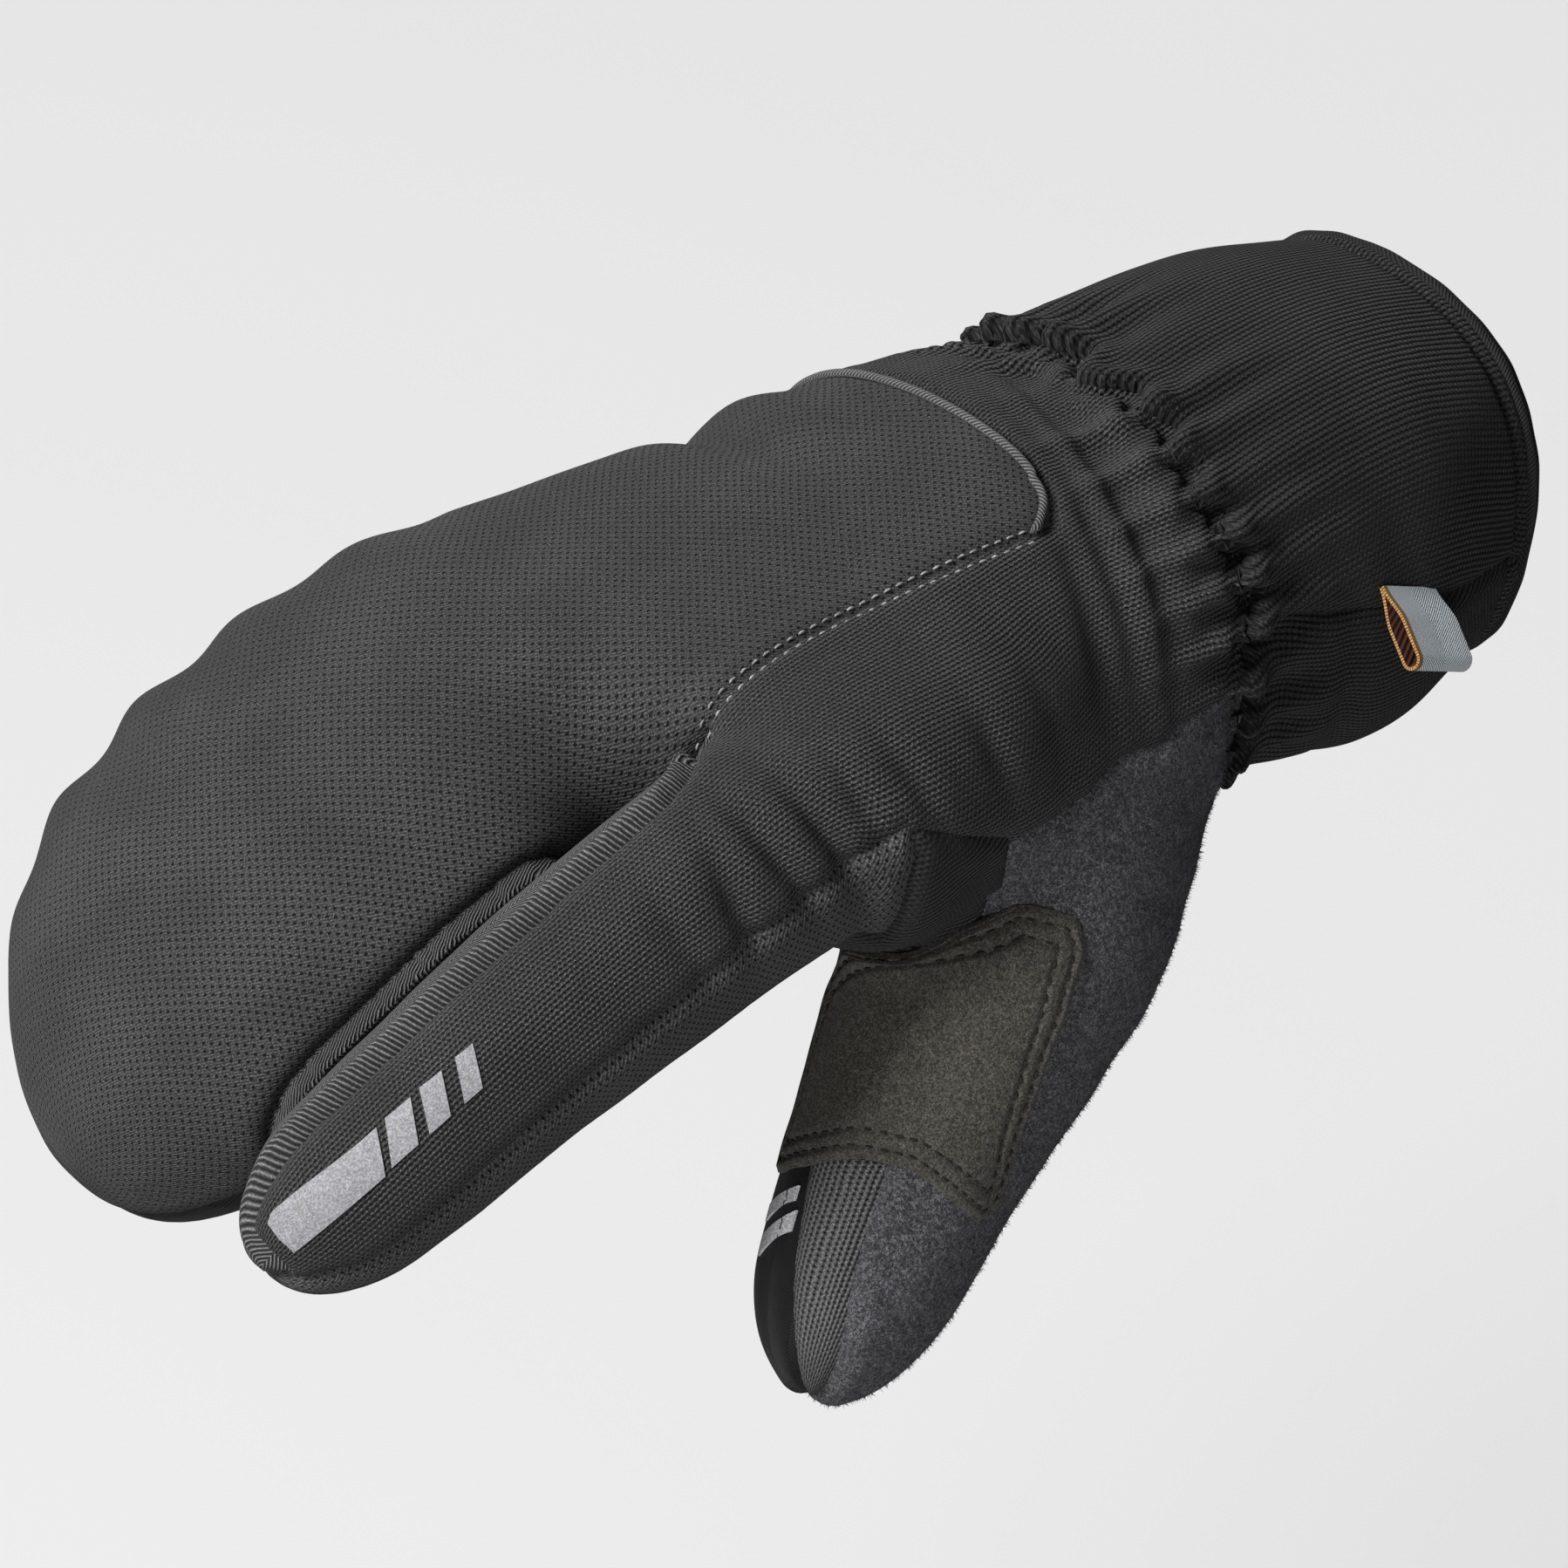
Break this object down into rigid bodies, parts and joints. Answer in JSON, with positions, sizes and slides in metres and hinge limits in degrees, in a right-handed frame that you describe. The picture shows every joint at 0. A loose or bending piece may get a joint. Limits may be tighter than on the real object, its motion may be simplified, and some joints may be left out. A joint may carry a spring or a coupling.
{
  "type": "lobster claw mitt",
  "caption": "Black winter mitt for the right hand: a pouch for three fingers, a separate index finger and thumb, gathered wrist, ribbed cuff and suede saddle patch.",
  "frame": {"origin": "middle of the gathered wrist, on the mitt's centre line", "axes": "-X from the wrist to the fingertips, -Y towards the thumb side, +Z out of the back of the hand"},
  "size_m": [0.2533, 0.1399, 0.1286],
  "materials": {
    "cuff_knit": "black line knit with fine ribs along the arm",
    "pouch_jersey": "charcoal jersey with staggered pinholes",
    "twill_strip": "black herringbone twill, rolled over padding",
    "ribbed_knit": "charcoal knit with fine ribs and rows of dots",
    "palm_cloth": "smooth satin black cloth",
    "mesh_knit": "dark perforated mesh knit",
    "fleece": "brushed fleece in bluish dark grey",
    "gusset_knit": "black stretch knit",
    "rib_strip": "narrow ribbed knit",
    "suede_patch": "olive-grey suede with a doubly stitched edge",
    "reflective": "silver-grey speckled reflective print",
    "piping_cord": "grey corded piping",
    "binding_cord": "black double cord binding",
    "tag_cloth": "grey woven tape with an ochre edge, bare"
  },
  "bodies": {
    "root": {"cuff_back": "cuff_knit", "cuff_palm": "cuff_knit", "pouch_back": "pouch_jersey", "pouch_fourchette": "twill_strip", "hand_back": "ribbed_knit", "palm": "palm_cloth", "index_fourchette_inner": "twill_strip", "index_fourchette_outer": "mesh_knit", "thumb_back": "fleece", "thumb_crotch_gusset": "gusset_knit", "thumb_fourchette": "rib_strip", "thumb_palm": "palm_cloth", "saddle_patch": "suede_patch", "index_stripe_1": "reflective", "index_stripe_2": "reflective", "index_stripe_3": "reflective", "index_stripe_4": "reflective", "thumb_stripe_1": "reflective", "thumb_stripe_2": "reflective", "back_piping": "piping_cord", "cuff_binding": "binding_cord", "label_loop": "tag_cloth"}
  },
  "joints": []
}
